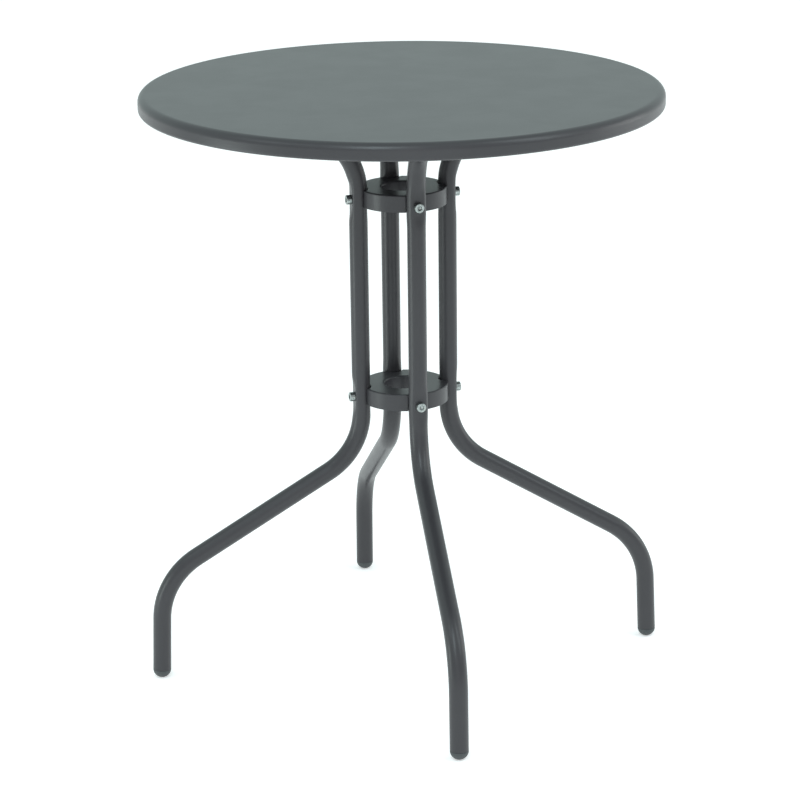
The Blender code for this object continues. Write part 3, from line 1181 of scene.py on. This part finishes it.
@dataclass(frozen=True)
class ClampRing:
    """A stamped cap that the four tubes are screwed to: face up, with a notch for each tube."""

    radius: float = 0.0510
    sheet: float = 0.0020
    corner: float = 0.0018
    hole_radius: float = 0.0240
    hole_corner: float = 0.0024
    lip: float = 0.0185
    notch_corner: float = 0.0006
    notch_corner_steps: int = 2
    rim_steps: int = 20
    notch_steps: int = 14
    corner_steps: int = 6
    hole_sides: int = 80
    shear_burr: float = 0.0002
    drill_radius: float = 0.0036
    drill_travel: float = 0.012

    @staticmethod
    def angle_between(first: float, second: float, opposite: float) -> float:
        """The angle between two sides of a triangle, from the lengths of all three."""
        return math.acos((first**2 + second**2 - opposite**2) / (2 * first * second))

    def outline(self, shape: Shape, leg: Leg, inset: float, height: float) -> Loop:
        """Draws the cap's outline: four arcs of its rim and four notches between them.

        Args:
            shape: The shape that the outline is drawn in.
            leg: The leg that the notches are cut for.
            inset: How far inside the cap's own outline this one runs.
            height: The height that it is drawn at.

        Returns:
            A closed loop of edges.
        """
        radius = self.radius - inset
        notch = leg.tube_radius * (1.0 + Jaws.spread) + leg.gap + inset
        half = self.angle_between(radius, leg.tube_offset, notch)
        bite = self.angle_between(notch, leg.tube_offset, radius)
        quarter = math.pi / 2
        known = set(shape.verts)
        start = Matrix.Rotation(half, 3, "Z") @ (OUTWARD * radius)
        pen = shape.verts.new(start + UP * height)
        corners = [pen.co.copy()]
        for turn in range(1, 5):
            tube = Matrix.Rotation(turn * quarter, 3, "Z") @ (OUTWARD * leg.tube_offset)
            rim_arc = (ORIGIN, quarter - 2 * half, self.rim_steps)
            notch_arc = (tube, -2 * bite, self.notch_steps)
            for centre, angle, steps in (rim_arc, notch_arc):
                pen = spun(shape, [pen], centre, UP, angle, steps)[0]
                corners.append(pen.co.copy())
        drawn = [vert for vert in shape.verts if vert not in known]
        bmesh.ops.remove_doubles(shape, verts=drawn, dist=WELD_DISTANCE)
        near = 10 * WELD_DISTANCE
        drawn = [vert for vert in shape.verts if vert not in known]
        sharp = [vert for vert in drawn if any((vert.co - at).length < near for at in corners)]
        round_off(shape, sharp, self.notch_corner, self.notch_corner_steps)
        return [edge for edge in shape.edges if not known.intersection(edge.verts)]

    def skirt(self, shape: Shape, leg: Leg, depth: float) -> list[Loop]:
        """Draws the skirt's loops and walls: up its inner side from under the face and back outside.

        Args:
            shape: The shape that they are drawn in.
            leg: The leg that the notches are cut for.
            depth: How deep the skirt is.

        Returns:
            The loop round the underside of the face, and the one round its top.
        """
        sheared = self.shear_burr - depth
        stations = [(self.sheet, -self.sheet), (self.sheet, sheared), (0.0, -depth)]
        stations.append((0.0, -self.corner))
        for up, inset in quarter_round(self.corner, self.corner_steps):
            stations.append((inset, up - self.corner))
        loops = [self.outline(shape, leg, inset, height) for inset, height in stations]
        for before, after in zip(loops, loops[1:]):
            bmesh.ops.bridge_loops(shape, edges=[*before, *after])
        return [loops[0], loops[-1]]

    def throat(self, shape: Shape) -> list[Loop]:
        """Draws the hole's rolled edge and its collar, down inside and back up outside.

        Args:
            shape: The shape that they are drawn in.

        Returns:
            The loop round the collar under the face, and the one round the hole's mouth.
        """
        mouth = self.hole_radius + self.hole_corner
        collar = self.hole_radius + self.sheet
        first = ring_of(shape, self.hole_sides, mouth)
        stations = [(mouth, 0.0)]
        for inward, down in quarter_round(self.hole_corner, self.corner_steps):
            stations.append((mouth - inward, -down))
        stations += [(self.hole_radius, -self.lip), (collar, -self.lip), (collar, -self.sheet)]
        loop = first
        for before, after in zip(stations, stations[1:]):
            loop = extruded(shape, loop, after[0] / before[0], after[1] - before[1])
        return [loop, first]

    def shape(self, leg: Leg, depth: float, screw_drop: float) -> Shape:
        """Stamps the cap with its face on z = 0, and drills it.

        Args:
            leg: The leg that is screwed to it.
            depth: How deep its skirt is.
            screw_drop: How far the screws are below its face.

        Returns:
            The closed shape.
        """
        shape = bmesh.new()
        for rim, hole in zip(self.skirt(shape, leg, depth), self.throat(shape)):
            bmesh.ops.triangle_fill(shape, use_beauty=True, edges=[*rim, *hole])
        weld(shape)
        start = leg.tube_offset - leg.tube_radius
        holes = [side.spin @ facing(OUTWARD, Vector((start, 0.0, -screw_drop))) for side in Side]
        drill(shape, holes, self.drill_radius, self.drill_travel)
        return shape

    def build(self, workshop: Workshop, leg: Leg) -> None:
        """Makes and dresses both rings.

        Args:
            workshop: Where the pieces are dressed.
            leg: The leg that is screwed to them.
        """
        for name in ("upper", "lower"):
            low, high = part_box(f"{name}_ring")
            screw_drop = high.z - leg.local(f"{name}_screw_right").z
            shape = self.shape(leg, high.z - low.z, screw_drop)
            bmesh.ops.translate(shape, vec=UP * high.z, verts=shape.verts)
            workshop.deliver(shape, f"{name}_clamp_ring", f"{name}_ring", Slot.POWDER_COAT)


@dataclass(frozen=True)
class HatRing:
    """The hat-section ring welded under the top, which the legs' upper ends are screwed to."""

    sheet: float = 0.0015
    flange: float = 0.010
    web_run: float = 0.006
    fold_round: float = 0.0012
    fold_steps: int = 4
    sides: int = 96
    drill_radius: float = 0.0036
    drill_travel: float = 0.04

    def shape(self) -> Shape:
        """Rolls the hat section into a ring and drills it.

        Returns:
            The closed shape.
        """
        low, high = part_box("mounting_ring")
        outer = high.x
        screw_low, screw_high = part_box("top_screw_right")
        screw = (screw_low + screw_high) / 2
        middle = screw.to_2d().length
        half_face = outer - middle - self.flange - self.web_run
        depth = high.z - self.sheet
        fold, edge = half_face + self.web_run, half_face + self.web_run + self.flange
        chain = Profile(middle - edge, depth)
        chain.line(middle - fold, depth).line(middle - half_face, low.z)
        chain.line(middle + half_face, low.z).line(middle + fold, depth).line(outer, depth)
        folds = [vert for vert in chain.shape.verts if len(vert.link_edges) == 2]
        round_off(chain.shape, folds, self.fold_round, self.fold_steps)
        shape = chain.revolve(self.sides)
        lowest = min(shape.faces, key=lambda face: face.calc_center_median().z)
        if lowest.normal.z > 0.0:
            bmesh.ops.reverse_faces(shape, faces=shape.faces)
        bmesh.ops.solidify(shape, geom=shape.faces[:], thickness=self.sheet)
        holes = [side.spin @ Matrix.Translation(screw) for side in Side]
        drill(shape, holes, self.drill_radius, self.drill_travel)
        return shape

    def build(self, workshop: Workshop) -> None:
        """Makes and dresses the ring."""
        workshop.deliver(self.shape(), "hat_section_ring", "mounting_ring", Slot.POWDER_COAT)


class Joint(Enum):
    """The three places on each leg that a screw and its nut hold."""

    UPPER = "upper"
    LOWER = "lower"
    TOP = "top"


@dataclass(frozen=True)
class Hardware:
    """The screws and nuts: one of each where a tube meets a ring or the mounting ring."""

    screw: Screw = Screw()
    nut: Nut = Nut()

    def place(self, node: str, joint: Joint, side: Side, end: int) -> tuple[Matrix, float]:
        """Finds where a screw or nut goes, from the frame's own piece.

        Args:
            node: The frame's node.
            joint: Which screw it is.
            side: Which leg it is on.
            end: 1 to take the node's outer end, 0 for its inner one, along the screw.

        Returns:
            The place of that end with +Z outward along the screw, and the node's length.
        """
        low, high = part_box(node)
        middle = (low + high) / 2
        if joint is Joint.TOP:
            outward = -UP
            length = high.z - low.z
        else:
            outward = side.spin @ OUTWARD
            length = abs((high - low).dot(outward))
        tip = middle + outward * length * (end - 0.5)
        return facing(outward, tip), length

    def build(self, workshop: Workshop) -> None:
        """Makes and dresses every screw and nut.

        Args:
            workshop: Where the pieces are finished.
        """
        for side in Side:
            for joint in Joint:
                node = f"{joint.value}_screw_{side.tag}"
                tip, length = self.place(node, joint, side, 1)
                shape = self.screw.shape(length - self.screw.head_height)
                seat = tip @ Matrix.Translation((0.0, 0.0, -self.screw.head_height))
                bmesh.ops.transform(shape, matrix=seat, verts=shape.verts)
                workshop.deliver(shape, f"{joint.value}_bolt_{side.tag}", node, Slot.ZINC)
                node = f"{joint.value}_nut_{side.tag}"
                seat, _ = self.place(node, joint, side, 0)
                shape = self.nut.shape()
                bmesh.ops.transform(shape, matrix=seat, verts=shape.verts)
                workshop.deliver(shape, f"{joint.value}_hexnut_{side.tag}", node, Slot.ZINC)


@dataclass(frozen=True)
class Softbox:
    """One soft studio lamp that lights the table without being seen itself."""

    name: str
    size: Span
    azimuth: float
    elevation: float
    distance: float
    watts: float
    colour: Triple = (1.0, 1.0, 1.0)

    def build(self, target: Vector, turn: float) -> None:
        """Hangs the lamp and aims it.

        Args:
            target: What it is aimed at.
            turn: The azimuth that its own one is counted from, in degrees.
        """
        lamp = bpy.data.lights.new(self.name, "AREA")
        lamp.shape = "RECTANGLE"
        lamp.size, lamp.size_y = self.size
        lamp.energy = self.watts
        lamp.color = self.colour
        holder = bpy.data.objects.new(self.name, lamp)
        back = Vector((0.0, -1.0, 0.0))
        back.rotate(Matrix.Rotation(-math.radians(self.elevation), 3, "X"))
        back.rotate(Matrix.Rotation(math.radians(self.azimuth + turn), 3, "Z"))
        holder.matrix_world = facing(back, target + back * self.distance)
        holder.visible_camera = False
        bpy.context.scene.collection.objects.link(holder)


@dataclass(frozen=True)
class Studio:
    """A pale floor, soft lamps all round and the camera."""

    floor_half: float = 40.0
    floor_colour: Triple = (0.95, 0.95, 0.95)
    floor_glow: float = 0.36
    near_sky: Triple = (0.60, 0.60, 0.62)
    far_sky: Triple = (0.73, 0.87, 0.85)
    far_direction: Triple = (-0.35, 0.90, 0.25)
    lens: float = 122.4
    sensor: float = 36.0
    camera_back: float = 3.0576
    camera_height: float = 1.3068
    camera_aside: float = -0.00608
    camera_turn: float = -16.2555
    camera_drop: float = 17.788
    camera_roll: float = -0.7126

    def floor(self) -> None:
        """Lays a plain pale floor."""
        shape = bmesh.new()
        bmesh.ops.create_grid(shape, x_segments=8, y_segments=8, size=self.floor_half)
        ground = placed(shape, "studio_floor")
        recipe = Recipe.begin("pale_floor")
        recipe.shader.inputs["Base Color"].default_value = (*self.floor_colour, 1.0)
        recipe.shader.inputs["Roughness"].default_value = 0.8
        recipe.shader.inputs["Specular IOR Level"].default_value = 0.2
        recipe.shader.inputs["Emission Color"].default_value = (1.0, 1.0, 1.0, 1.0)
        recipe.shader.inputs["Emission Strength"].default_value = self.floor_glow
        ground.data.materials.append(recipe.material)

    def sky(self) -> None:
        """Fills the room with soft light, dimmer behind the camera, and shows colours as they are."""
        world = bpy.data.worlds.new("studio_air")
        world.use_nodes = True
        tree = world.node_tree
        direction = tree.nodes.new("ShaderNodeTexCoord")
        away = tree.nodes.new("ShaderNodeVectorMath")
        away.operation = "DOT_PRODUCT"
        turned = Matrix.Rotation(math.radians(self.camera_turn), 3, "Z")
        away.inputs[1].default_value = turned @ Vector(self.far_direction)
        share = tree.nodes.new("ShaderNodeMapRange")
        share.inputs["From Min"].default_value = -1.0
        colour = tree.nodes.new("ShaderNodeMix")
        colour.data_type = "RGBA"
        colour.inputs["A"].default_value = (*self.near_sky, 1.0)
        colour.inputs["B"].default_value = (*self.far_sky, 1.0)
        tree.links.new(direction.outputs["Generated"], away.inputs[0])
        tree.links.new(away.outputs["Value"], share.inputs["Value"])
        tree.links.new(share.outputs["Result"], colour.inputs["Factor"])
        tree.links.new(colour.outputs["Result"], tree.nodes["Background"].inputs["Color"])
        bpy.context.scene.world = world
        bpy.context.scene.view_settings.view_transform = "Standard"

    def lamps(self) -> list[Softbox]:
        """Lists the lamps, all given round the camera's own direction.

        Returns:
            The lamps.
        """
        cool = (0.80, 0.96, 1.0)
        mint = (0.88, 1.0, 0.96)
        pale = (0.88, 0.98, 1.0)
        clear = (0.86, 0.98, 1.0)
        return [
            Softbox("camera_softbox", (1.8, 1.8), 6.0, 12.0, 3.2, 4.0),
            Softbox("left_board", (0.34, 0.44), -72.0, -5.0, 1.26, 2.0, mint),
            Softbox("left_softbox", (0.9, 0.9), -62.0, 42.0, 3.2, 5.0, pale),
            Softbox("front_softbox", (0.6, 1.5), -13.0, 46.0, 3.2, 22.0, cool),
            Softbox("right_softbox", (0.7, 2.2), 64.0, 42.0, 3.2, 19.0, clear),
            Softbox("right_side", (1.6, 1.4), 105.0, 12.0, 3.0, 12.0),
        ]

    def camera(self) -> None:
        """Sets the camera up and makes it the scene's own."""
        data = bpy.data.cameras.new("studio_camera")
        data.lens = self.lens
        data.sensor_width = self.sensor
        holder = bpy.data.objects.new("studio_camera", data)
        aside = Vector((self.camera_aside, -self.camera_back, self.camera_height))
        holder.matrix_world = (
            Matrix.Rotation(math.radians(self.camera_turn), 4, "Z")
            @ Matrix.Translation(aside)
            @ Matrix.Rotation(math.radians(90.0 - self.camera_drop), 4, "X")
            @ Matrix.Rotation(math.radians(self.camera_roll), 4, "Z")
        )
        bpy.context.scene.collection.objects.link(holder)
        bpy.context.scene.camera = holder

    def build(self) -> None:
        """Sets the whole studio up."""
        self.camera()
        self.floor()
        self.sky()
        low, high = CAD_BOX
        for lamp in self.lamps():
            lamp.build((low + high) / 2, self.camera_turn)


def main() -> None:
    """Builds the studio and the table, piece by piece."""
    logging.basicConfig(level=logging.INFO, format="%(name)s: %(message)s")
    Studio().build()
    workshop = Workshop()
    leg = Leg()
    Tabletop().build(workshop)
    HatRing().build(workshop)
    ClampRing().build(workshop, leg)
    leg.build(workshop)
    Hardware().build(workshop)


if __name__ == "__main__":
    main()
